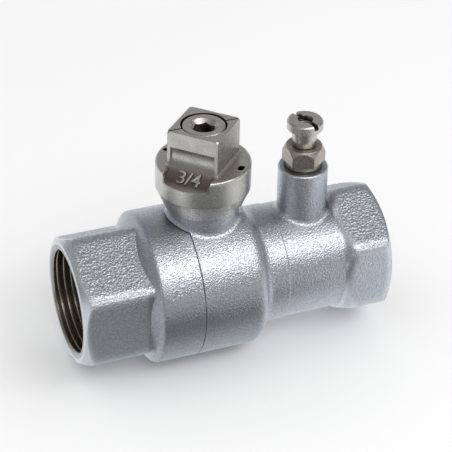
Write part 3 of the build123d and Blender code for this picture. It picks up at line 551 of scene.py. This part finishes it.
def satin_chrome_material():
    """Chrome with a blasted grain; smoother corners with a painted highlight, painted shade in the
    creases, turned at the ends.
    """
    material, tree, output = new_material("satin_chrome")
    parts = split(tree, object_place(tree))
    turned, turned_bore, hexagon = chrome_masks(tree, parts)
    not_turned = math_node(tree, "SUBTRACT", 1.0, turned)
    fine = use_group(tree, grain_group, Grain_size=GRAIN_SIZE[0], Cloud_size=7 * MM)
    coarse = use_group(tree, grain_group, Grain_size=GRAIN_SIZE[1], Cloud_size=5 * MM)
    marks = use_group(tree, marks_group, Coordinate=parts["X"], Step=0.22 * MM)
    soft_corner = math_node(tree, "MULTIPLY", hexagon, not_turned)
    edge_radius = ramp(tree, soft_corner, 0.0, 1.0, *EDGE_RADIUS)
    edges = use_group(tree, edges_group, Radius=edge_radius)
    height = mix_value(tree, hexagon, fine["Height"], coarse["Height"])
    speck = mix_value(tree, hexagon, fine["Speck"], coarse["Speck"])
    # handling has made the corners smoother than the flats, and their colour is painted lighter as a
    # painted highlight
    rubbed_and_highlit = math_node(
        tree, "MULTIPLY", edges["Edge"], ramp(tree, hexagon, 0.0, 1.0, *RUBBED_AND_HIGHLIT_SHARE)
    )
    off_edges = math_node(tree, "MULTIPLY_ADD", rubbed_and_highlit, -0.95, 1.0)
    skin = math_node(tree, "MULTIPLY", off_edges, not_turned)
    grain_depth = ramp(tree, hexagon, 0.0, 1.0, *GRAIN_DEPTH)
    grain_normal = bump(
        tree, math_node(tree, "MULTIPLY", height, skin), grain_depth, edges["Normal"]
    )
    marks_height = math_node(tree, "MULTIPLY", marks["Height"], turned)
    normal = bump(tree, marks_height, 0.004 * MM, grain_normal)
    # the upward-facing flats of the hexagons show more dark specks than the sideways ones
    facing = split(tree, add_node(tree, "ShaderNodeNewGeometry").outputs["Normal"])
    upward = ramp(tree, facing["Z"], *UPWARD_FADE, *HEX_SPECKS)
    dull_share = mix_value(tree, hexagon, ROUND_SPECKS, upward)
    # near the corners the dark specks fade out, which also lightens them as part of the painted
    # highlight
    dull_share = math_node(tree, "MULTIPLY", dull_share, off_edges)
    dull = math_node(tree, "MULTIPLY", math_node(tree, "SUBTRACT", 1.0, speck), dull_share)
    # painted shade: creases and corners, found by ambient occlusion, are mixed towards a dark chrome
    recess = use_group(tree, recess_group, Reach=4 * MM)["Recess"]
    crease_shade = math_node(tree, "MULTIPLY", recess, 0.8)
    # painted highlight: the corners' colour is mixed towards a near-white chrome
    edge_highlight = math_node(tree, "MULTIPLY", rubbed_and_highlit, 0.7)
    colour = mix_colour(tree, dull, CHROME, CHROME_DARK)
    colour = mix_colour(tree, crease_shade, colour, CHROME_CREASE_SHADE)
    colour = mix_colour(tree, edge_highlight, colour, CHROME_EDGE_HIGHLIGHT)
    # the bores are painted warm for the thin chrome over brass, and darker as painted shade inside
    # them
    colour = mix_colour(tree, turned_bore, colour, CHROME_BORE)
    skin_rough = chrome_roughness(tree, speck, fine["Cloud"], hexagon, rubbed_and_highlit)
    rough = mix_value(tree, turned, skin_rough, TURNED_ROUGHNESS)
    finish_surface(tree, output, colour, rough, normal, Metallic=1.0)
    return material


satin_chrome = satin_chrome_material()
print("satin chrome:", len(satin_chrome.node_tree.nodes), "nodes")

# %% [markdown]
# ## Nickel on the key cap, its screw and the test cock
#
# These pieces are turned from bar and nickel plated. The finish is warmer and smoother. It is painted
# brown in the corners, in the screw's socket and in the scoop of the key cap, as tarnish and painted
# shade, and almost black in deep holes as painted shade. The recess mask finds the corners and the
# holes, but the scoop is a wide arc and too open for it. So a mask of its own finds the scoop, from
# its radius and its place on the key cap.

# %% Where the scoop is
key_low, key_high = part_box("key_cap")
KEY_AXIS = ((key_low.x + key_high.x) / 2, (key_low.y + key_high.y) / 2)
SCOOP_RADIUS = 6 * MM
SCOOP_REACH = 12.75 * MM
SCOOP_HALF_WIDTH = 6.45 * MM
SCOOP_POCKET = 0.5 * MM
SCOOP_HEIGHT = key_high.z - 6.7 * MM
SCOOP_TURN = math.radians(225)
SCOOP_WAY = (math.cos(SCOOP_TURN), math.sin(SCOOP_TURN), 0)
SCOOP_ALONG = (-SCOOP_WAY[1], SCOOP_WAY[0], 0)
SCOOP_SHADE_TOP = SCOOP_HEIGHT - 0.8 * MM
SCOOP_SHADE_FULL = SCOOP_HEIGHT - 3.8 * MM
SCOOP_RIM_FADE = (11.6 * MM, 9.6 * MM)


def scoop_mask(tree, place):
    """Where a point lies in the scoop of the key cap, painted brown as tarnish and painted shade."""
    from_axis = vector_math(tree, "SUBTRACT", place, (*KEY_AXIS, 0))
    outwards = vector_math(tree, "DOT_PRODUCT", from_axis, SCOOP_WAY)
    beside = math_node(
        tree, "ABSOLUTE", vector_math(tree, "DOT_PRODUCT", from_axis, SCOOP_ALONG)
    )
    height = split(tree, place)["Z"]
    from_arc_centre = add_node(
        tree,
        "ShaderNodeCombineXYZ",
        {
            "X": math_node(tree, "SUBTRACT", outwards, SCOOP_REACH),
            "Y": math_node(tree, "SUBTRACT", height, SCOOP_HEIGHT),
        },
    ).outputs[0]
    radius = vector_math(tree, "LENGTH", from_arc_centre)
    limit = SCOOP_RADIUS + SCOOP_POCKET
    inside = ramp(tree, radius, limit + 0.12 * MM, limit + 0.04 * MM)
    between = ramp(tree, beside, SCOOP_HALF_WIDTH, SCOOP_HALF_WIDTH - 0.3 * MM)
    inside = math_node(tree, "MULTIPLY", inside, between)
    low = ramp(tree, height, SCOOP_SHADE_TOP, SCOOP_SHADE_FULL)
    off_rim = ramp(tree, outwards, *SCOOP_RIM_FADE)
    return math_node(tree, "MULTIPLY", inside, math_node(tree, "MULTIPLY", low, off_rim))


print("key axis at", round(KEY_AXIS[0] / MM, 2), "mm, its top at", round(key_high.z / MM, 2), "mm")

# %% Nickel plate
NICKEL_BRIGHT = (0.66, 0.63, 0.585, 1)
NICKEL_CLOUDED = (0.52, 0.49, 0.45, 1)
NICKEL_BROWN = (0.13, 0.09, 0.062, 1)
NICKEL_DEEP = (0.035, 0.024, 0.016, 1)
CORNER_REACH = 2.5 * MM
HOLE_REACH = 6 * MM
CORNER_SHARE = 0.8
# of the bottom of the grain and of its top
NICKEL_ROUGHNESS = (0.30, 0.22)


def nickel_material(name, bright, clouded, scoop_share=0.0):
    """Nickel plate: bright on the open faces, brown in the corners as tarnish and painted shade, dark
    in deep holes as painted shade.
    """
    material, tree, output = new_material(name)
    place = object_place(tree)
    grain = use_group(tree, grain_group, Grain_size=0.25 * MM, Cloud_size=3.5 * MM)
    edges = use_group(tree, edges_group, Radius=0.25 * MM)
    marks = use_group(tree, marks_group, Coordinate=split(tree, place)["Z"], Step=0.25 * MM)
    recess = use_group(tree, recess_group, Reach=CORNER_REACH)["Recess"]
    deep = use_group(tree, recess_group, Reach=HOLE_REACH)["Deep"]
    # tarnish and painted shade: the corners, and the scoop on the key cap, lean to the brown
    brown = math_node(tree, "MULTIPLY", recess, CORNER_SHARE)
    if scoop_share:
        scoop = math_node(tree, "MULTIPLY", scoop_mask(tree, place), scoop_share)
        brown = math_node(tree, "MAXIMUM", brown, scoop)
    cloud = math_node(tree, "MULTIPLY", grain["Cloud"], 0.6)
    colour = mix_colour(tree, cloud, bright, clouded)
    colour = mix_colour(tree, brown, colour, NICKEL_BROWN)
    # painted shade: deep holes lean to almost black
    colour = mix_colour(tree, deep, colour, NICKEL_DEEP)
    rough = ramp(tree, grain["Speck"], 0.0, 1.0, *NICKEL_ROUGHNESS)
    rough = math_node(tree, "MULTIPLY_ADD", grain["Cloud"], 0.06, rough)
    rough = math_node(tree, "MULTIPLY_ADD", brown, 0.12, rough)
    normal = bump(tree, grain["Height"], 0.020 * MM, edges["Normal"])
    normal = bump(tree, marks["Height"], 0.002 * MM, normal)
    finish_surface(tree, output, colour, rough, normal, Metallic=1.0)
    return material


nickel_cap = nickel_material("nickel_cap", NICKEL_BRIGHT, NICKEL_CLOUDED, scoop_share=0.85)
nickel_plate = nickel_material("nickel_plate", NICKEL_BRIGHT, NICKEL_CLOUDED)
nickel_worn = nickel_material("nickel_worn", (0.50, 0.45, 0.40, 1), (0.34, 0.29, 0.24, 1))
print("nickel finishes:", [m.name for m in (nickel_cap, nickel_plate, nickel_worn)])

# %% [markdown]
# ## Inside the valve
#
# The ball is chromed and polished, the stem is bare brass, and the check valve is a cartridge of
# moulded plastic with a rubber seal, a steel spring and a steel snap ring. Each has its own finish,
# because the outlet shows the cartridge, and the inlet shows the ball.

# %% Turned metals
def turned_metal(name, bright, dull, roughness, axis, step, grain_size):
    """A metal turned on a lathe: rings along one axis, faint clouds, soft edges."""
    material, tree, output = new_material(name)
    along = split(tree, object_place(tree))[axis]
    grain = use_group(tree, grain_group, Grain_size=grain_size, Cloud_size=3 * MM)
    marks = use_group(tree, marks_group, Coordinate=along, Step=step)
    edges = use_group(tree, edges_group, Radius=0.15 * MM)
    colour = mix_colour(tree, grain["Cloud"], bright, dull)
    rough = ramp(tree, grain["Speck"], 0.0, 1.0, roughness, roughness + 0.08)
    normal = bump(tree, grain["Height"], 0.004 * MM, edges["Normal"])
    normal = bump(tree, marks["Height"], 0.003 * MM, normal)
    finish_surface(tree, output, colour, rough, normal, Metallic=1.0)
    return material


chromed_ball = turned_metal(
    "chromed_ball",
    bright=(0.64, 0.65, 0.67, 1),
    dull=(0.55, 0.56, 0.58, 1),
    roughness=0.10,
    axis="X",
    step=0.2 * MM,
    grain_size=0.3 * MM,
)
bare_brass = turned_metal(
    "bare_brass",
    bright=(0.80, 0.58, 0.28, 1),
    dull=(0.62, 0.42, 0.20, 1),
    roughness=0.24,
    axis="Z",
    step=0.2 * MM,
    grain_size=0.3 * MM,
)
spring_steel = turned_metal(
    "spring_steel",
    bright=(0.52, 0.52, 0.53, 1),
    dull=(0.36, 0.35, 0.34, 1),
    roughness=0.28,
    axis="X",
    step=0.1 * MM,
    grain_size=0.2 * MM,
)
print("turned metals:", [m.name for m in (chromed_ball, bare_brass, spring_steel)])


# %% Plastics, rubber and fibre
def moulded(name, colour, shade, roughness, grain_size, depth, **constants):
    """A moulded material: faint flow clouds, painted shade in the recesses, a fine skin, softened
    edges.
    """
    material, tree, output = new_material(name)
    grain = use_group(tree, grain_group, Grain_size=grain_size, Cloud_size=3 * MM)
    edges = use_group(tree, edges_group, Radius=0.15 * MM)
    recess = use_group(tree, recess_group, Reach=1.5 * MM)["Recess"]
    flow = math_node(tree, "MULTIPLY", grain["Cloud"], 0.4)
    # painted shade: recesses lean to the shade colour, along with the flow clouds
    flow_and_shade = math_node(tree, "MULTIPLY_ADD", recess, 0.5, flow)
    body_colour = mix_colour(tree, flow_and_shade, colour, shade)
    rough = ramp(tree, grain["Speck"], 0.0, 1.0, roughness, roughness + 0.1)
    normal = bump(tree, grain["Height"], depth, edges["Normal"])
    finish_surface(tree, output, body_colour, rough, normal, **constants)
    return material


acetal_white = moulded(
    "acetal_white",
    colour=(0.78, 0.77, 0.73, 1),
    shade=(0.58, 0.57, 0.53, 1),
    roughness=0.32,
    grain_size=0.3 * MM,
    depth=0.004 * MM,
    Subsurface_Weight=0.15,
    Subsurface_Scale=0.001,
)
acetal_black = moulded(
    "acetal_black",
    colour=(0.022, 0.022, 0.024, 1),
    shade=(0.010, 0.010, 0.011, 1),
    roughness=0.30,
    grain_size=0.3 * MM,
    depth=0.004 * MM,
)
ptfe = moulded(
    "ptfe",
    colour=(0.86, 0.86, 0.83, 1),
    shade=(0.70, 0.69, 0.65, 1),
    roughness=0.42,
    grain_size=0.4 * MM,
    depth=0.005 * MM,
    Subsurface_Weight=0.25,
    Subsurface_Scale=0.001,
)
nitrile_rubber = moulded(
    "nitrile_rubber",
    colour=(0.018, 0.017, 0.017, 1),
    shade=(0.008, 0.008, 0.008, 1),
    roughness=0.48,
    grain_size=0.12 * MM,
    depth=0.006 * MM,
    Sheen_Weight=0.15,
)
fibre_gasket = moulded(
    "fibre_gasket",
    colour=(0.30, 0.12, 0.07, 1),
    shade=(0.16, 0.06, 0.035, 1),
    roughness=0.70,
    grain_size=0.15 * MM,
    depth=0.010 * MM,
)
print("materials so far:", len(bpy.data.materials))

# %% [markdown]
# ## Handing out the finishes
#
# Every CAD piece gets one finish. One table of materials and pieces is easier to read and to change
# than a line for each piece, and it shows at once whether a piece was left out.

# %% Finish every CAD piece
finishes = {
    satin_chrome: ["body", "end_connector"],
    nickel_cap: ["key_cap"],
    nickel_plate: ["cap_screw", "bleed_screw"],
    nickel_worn: ["plug_body"],
    chromed_ball: ["ball"],
    bare_brass: ["stem", "seal_retainer"],
    spring_steel: ["snap_ring", "check_spring"],
    acetal_white: ["cartridge_body", "spring_cage"],
    acetal_black: ["poppet"],
    ptfe: ["seat_inlet", "seat_outlet", "stem_thrust_washer"],
    nitrile_rubber: [
        "stem_oring_lower",
        "stem_oring_upper",
        "cartridge_oring",
        "poppet_seal",
        "plug_oring",
        "bleed_oring",
    ],
    fibre_gasket: ["joint_gasket"],
}
for material, names in finishes.items():
    for name in names:
        for slot in nodes[name].material_slots:
            slot.material = material
unfinished = set(nodes) - {name for names in finishes.values() for name in names}
print("nodes with a finish:", len(nodes) - len(unfinished), "left out:", sorted(unfinished))

# %% [markdown]
# ## Pipe threads
#
# Each end has a female pipe thread. In CAD it is a plain bore, because a bore is what other parts
# are fitted to. Its turns are one ridge that winds along the bore, so Geometry Nodes can grow it:
# a spiral is the path, a trapezoid with a rounded crest is the section, and the section shrinks at
# both ends of the path, as a cut thread runs out. Changing the pitch or the turns is one input.

# %% Geometry node helpers
def new_shape_tree(name, inputs):
    """An empty geometry tree; inputs maps the names of its sizes to starting values."""
    tree = bpy.data.node_groups.new(name, "GeometryNodeTree")
    for label, value in inputs.items():
        socket = tree.interface.new_socket(name=label, in_out="INPUT", socket_type=FLOAT)
        socket.default_value = value
    tree.interface.new_socket(name="Finish", in_out="INPUT", socket_type="NodeSocketMaterial")
    tree.interface.new_socket(name="Shape", in_out="OUTPUT", socket_type="NodeSocketGeometry")
    start = add_node(tree, "NodeGroupInput")
    return tree, start.outputs


def close_shape_tree(tree, shape, finish):
    """Ends a tree as the export needs it: real geometry that carries its own finish."""
    real = add_node(tree, "GeometryNodeRealizeInstances", {"Geometry": shape}).outputs[0]
    painted = add_node(
        tree, "GeometryNodeSetMaterial", {"Geometry": real, "Material": finish}
    ).outputs[0]
    add_node(tree, "NodeGroupOutput", {"Shape": painted})


def grow_piece(name, tree, finish, slot, body, **sizes):
    """Runs a tree once, keeps its result as a plain mesh, and hands it to a body."""
    piece = bpy.data.objects.new(name, bpy.data.meshes.new(name))
    bpy.context.scene.collection.objects.link(piece)
    modifier = piece.modifiers.new("shape", "NODES")
    modifier.node_group = tree
    values = {label.replace("_", " "): value for label, value in sizes.items()}
    values["Finish"] = finish
    for socket in tree.interface.items_tree:
        if socket.in_out == "INPUT":
            modifier[socket.identifier] = values[socket.name]
    evaluated = piece.evaluated_get(bpy.context.evaluated_depsgraph_get())
    mesh = bpy.data.meshes.new_from_object(evaluated)
    piece.modifiers.remove(modifier)
    piece.data = mesh
    mesh.shade_smooth()
    mesh.set_sharp_from_angle(angle=math.radians(50))
    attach(piece, body)
    print(name, "faces:", len(mesh.polygons), "finish:", [m.name for m in mesh.materials])
    return piece


# %% Thread tree
# how much of the pitch the ridge's foot fills, and how far its middle stands off the wall
FOOT_SHARE = 0.96
MIDDLE_SHARE = 0.46


def thread_tree():
    """A ridge that winds along the X axis, inwards from the wall of a bore."""
    tree, size = new_shape_tree(
        "pipe_thread",
        {
            "Bore radius": 0.0132,
            "Ridge height": 0.00116,
            "Pitch": 0.0018,
            "Turns": 6.0,
            "Start": 0.0,
            "Facing": 1.0,
            "Crest share": 0.2,
            "Crest rounding": 0.00022,
            "Run out": 0.1,
        },
    )
    path_length = math_node(tree, "MULTIPLY", size["Turns"], size["Pitch"])
    path = add_node(
        tree,
        "GeometryNodeCurveSpiral",
        {
            "Resolution": 72,
            "Rotations": size["Turns"],
            "Start Radius": size["Bore radius"],
            "End Radius": size["Bore radius"],
            "Height": path_length,
        },
    ).outputs[0]
    path = add_node(
        tree, "GeometryNodeSetCurveNormal", {"Curve": path}, mode="Z_UP"
    ).outputs[0]
    # the section shrinks from full size to a fifth over the run-out at both ends
    share = add_node(tree, "GeometryNodeSplineParameter").outputs["Factor"]
    to_end = math_node(tree, "MINIMUM", share, math_node(tree, "SUBTRACT", 1.0, share))
    growth = add_node(
        tree,
        "ShaderNodeMapRange",
        {"Value": to_end, "From Max": size["Run out"], "To Min": 0.2, "To Max": 1.0},
    ).outputs["Result"]
    # a trapezoid: wide at the wall, narrow and rounded at the crest
    section = add_node(
        tree,
        "GeometryNodeCurvePrimitiveQuadrilateral",
        {
            "Height": size["Ridge height"],
            "Bottom Width": math_node(tree, "MULTIPLY", size["Pitch"], FOOT_SHARE),
            "Top Width": math_node(tree, "MULTIPLY", size["Pitch"], size["Crest share"]),
            "Offset": 0.0,
        },
        mode="TRAPEZOID",
    ).outputs[0]
    section = add_node(
        tree,
        "GeometryNodeFilletCurve",
        {"Curve": section, "Count": 3, "Radius": size["Crest rounding"], "Limit Radius": True},
        mode="POLY",
    ).outputs[0]
    off_wall = math_node(tree, "MULTIPLY", size["Ridge height"], -MIDDLE_SHARE)
    inwards = add_node(tree, "ShaderNodeCombineXYZ", {"X": off_wall}).outputs[0]
    section = add_node(
        tree,
        "GeometryNodeTransform",
        {"Geometry": section, "Translation": inwards, "Rotation": (0, 0, math.pi / 2)},
    ).outputs[0]
    ridge = add_node(
        tree,
        "GeometryNodeCurveToMesh",
        {"Curve": path, "Profile Curve": section, "Fill Caps": True, "Scale": growth},
    ).outputs[0]
    quarter = math_node(tree, "MULTIPLY", size["Facing"], math.pi / 2)
    turn = add_node(tree, "ShaderNodeCombineXYZ", {"Y": quarter}).outputs[0]
    place = add_node(tree, "ShaderNodeCombineXYZ", {"X": size["Start"]}).outputs[0]
    placed = add_node(
        tree, "GeometryNodeTransform", {"Geometry": ridge, "Translation": place, "Rotation": turn}
    ).outputs[0]
    close_shape_tree(tree, placed, size["Finish"])
    return tree


thread = thread_tree()
print("thread tree:", len(thread.nodes), "nodes")

# %% Grow both threads
PITCH = 1.814 * MM
RIDGE_HEIGHT = 1.162 * MM
THREAD_LEAD = 0.6 * MM
mounts = {mount["name"]: mount for mount in frame["record"]["mounts"]}
for end, facing in (("inlet", 1), ("outlet", -1)):
    mount = mounts[f"{end}_thread"]
    depth = mount["dims"]["length_mm"] * MM
    grow_piece(
        f"{end}_thread_turns",
        thread,
        satin_chrome,
        "satin_chrome",
        "housing",
        Bore_radius=mount["dims"]["r_mm"] * MM,
        Ridge_height=RIDGE_HEIGHT,
        Pitch=PITCH,
        Turns=(depth - THREAD_LEAD) / PITCH,
        Start=mount["pos_m"][0] + facing * THREAD_LEAD,
        Facing=float(facing),
        Crest_share=0.22,
        Crest_rounding=0.18 * MM,
        Run_out=0.1,
    )

# %% [markdown]
# ## The check valve's spring
#
# The spring shuts the poppet. Its wire follows a rule too: it winds at an even pitch in the middle
# and closes up at both ends, so that it stands square. The tree moves the points of a straight line
# onto that path.

# %% Spring tree
def spring_tree():
    """A coil of round wire along the X axis, closed up at both ends."""
    tree, size = new_shape_tree(
        "closed_spring",
        {
            "Coil radius": 0.0045,
            "Wire radius": 0.0003,
            "Turns": 4.5,
            "Start": 0.0,
            "Length": 0.0066,
            "End closing": 0.55,
        },
    )
    line = add_node(
        tree, "GeometryNodeCurvePrimitiveLine", {"Start": (0, 0, 0), "End": (0, 0, 1)}
    ).outputs[0]
    line = add_node(tree, "GeometryNodeResampleCurve", {"Curve": line, "Count": 300}).outputs[0]
    share = add_node(tree, "GeometryNodeSplineParameter").outputs["Factor"]
    eased = add_node(
        tree, "ShaderNodeMapRange", {"Value": share}, interpolation_type="SMOOTHSTEP"
    ).outputs["Result"]
    along = mix_value(tree, size["End closing"], share, eased)
    full_angle = math_node(tree, "MULTIPLY", size["Turns"], 2 * math.pi)
    angle = math_node(tree, "MULTIPLY", share, full_angle)
    point = add_node(
        tree,
        "ShaderNodeCombineXYZ",
        {
            "X": math_node(tree, "MULTIPLY_ADD", along, size["Length"], size["Start"]),
            "Y": math_node(tree, "MULTIPLY", math_node(tree, "COSINE", angle), size["Coil radius"]),
            "Z": math_node(tree, "MULTIPLY", math_node(tree, "SINE", angle), size["Coil radius"]),
        },
    ).outputs[0]
    path = add_node(
        tree, "GeometryNodeSetPosition", {"Geometry": line, "Position": point}
    ).outputs[0]
    section = add_node(
        tree, "GeometryNodeCurvePrimitiveCircle", {"Resolution": 12, "Radius": size["Wire radius"]}
    ).outputs[0]
    wire = add_node(
        tree,
        "GeometryNodeCurveToMesh",
        {"Curve": path, "Profile Curve": section, "Fill Caps": True},
    ).outputs[0]
    close_shape_tree(tree, wire, size["Finish"])
    return tree


coil = spring_tree()
print("spring tree:", len(coil.nodes), "nodes")

# %% Grow the spring
spring_low, spring_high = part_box("check_spring")
WIRE_RADIUS = 0.3 * MM
spring = grow_piece(
    "spring_wire",
    coil,
    spring_steel,
    "spring_steel",
    "housing",
    Coil_radius=(spring_high.z - spring_low.z) / 2 - WIRE_RADIUS,
    Wire_radius=WIRE_RADIUS,
    Turns=4.5,
    Start=spring_low.x + WIRE_RADIUS,
    Length=spring_high.x - spring_low.x - 2 * WIRE_RADIUS,
    End_closing=0.55,
)
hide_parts("check_spring")
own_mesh(spring)

# %% [markdown]
# ## Raised figures in the scoop
#
# The scoop of the key cap carries the pipe size in small raised figures. A text curve gives their
# outline. It becomes a mesh first, and its points are then wrapped round the scoop: along the scoop
# they keep their place, and across it they follow the arc.

# %% Raised figures
def scoop_point(along, across, rise):
    """The place of a point of the figures: along the scoop, up its arc, and above its skin."""
    turn = across / SCOOP_RADIUS
    reach = SCOOP_REACH - SCOOP_POCKET - (SCOOP_RADIUS - rise) * math.sin(turn)
    return Vector(
        (
            KEY_AXIS[0] + SCOOP_WAY[0] * reach + SCOOP_ALONG[0] * along,
            KEY_AXIS[1] + SCOOP_WAY[1] * reach + SCOOP_ALONG[1] * along,
            SCOOP_HEIGHT - (SCOOP_RADIUS - rise) * math.cos(turn),
        )
    )


def raised_figures(text, size, across, half_thickness):
    """Figures that stand on the skin of the scoop, as one plain mesh."""
    curve = bpy.data.curves.new("figures", "FONT")
    curve.body = text
    curve.size = size
    curve.extrude = half_thickness
    curve.offset = 0.05 * MM
    curve.align_x = "CENTER"
    curve.align_y = "CENTER"
    curve.resolution_u = 4
    flat = bpy.data.objects.new("flat_figures", curve)
    bpy.context.scene.collection.objects.link(flat)
    evaluated = flat.evaluated_get(bpy.context.evaluated_depsgraph_get())
    mesh = bpy.data.meshes.new_from_object(evaluated)
    bpy.data.objects.remove(flat)
    bpy.data.curves.remove(curve)
    for vertex in mesh.vertices:
        vertex.co = scoop_point(vertex.co.x, across + vertex.co.y, vertex.co.z)
    mesh.materials.clear()
    mesh.materials.append(nickel_plate)
    piece = bpy.data.objects.new("size_figures", mesh)
    bpy.context.scene.collection.objects.link(piece)
    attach(piece, "valve")
    return piece


figures = raised_figures("3/4", size=5.0 * MM, across=4.1 * MM, half_thickness=0.45 * MM)
print("figures:", len(figures.data.polygons), "faces")
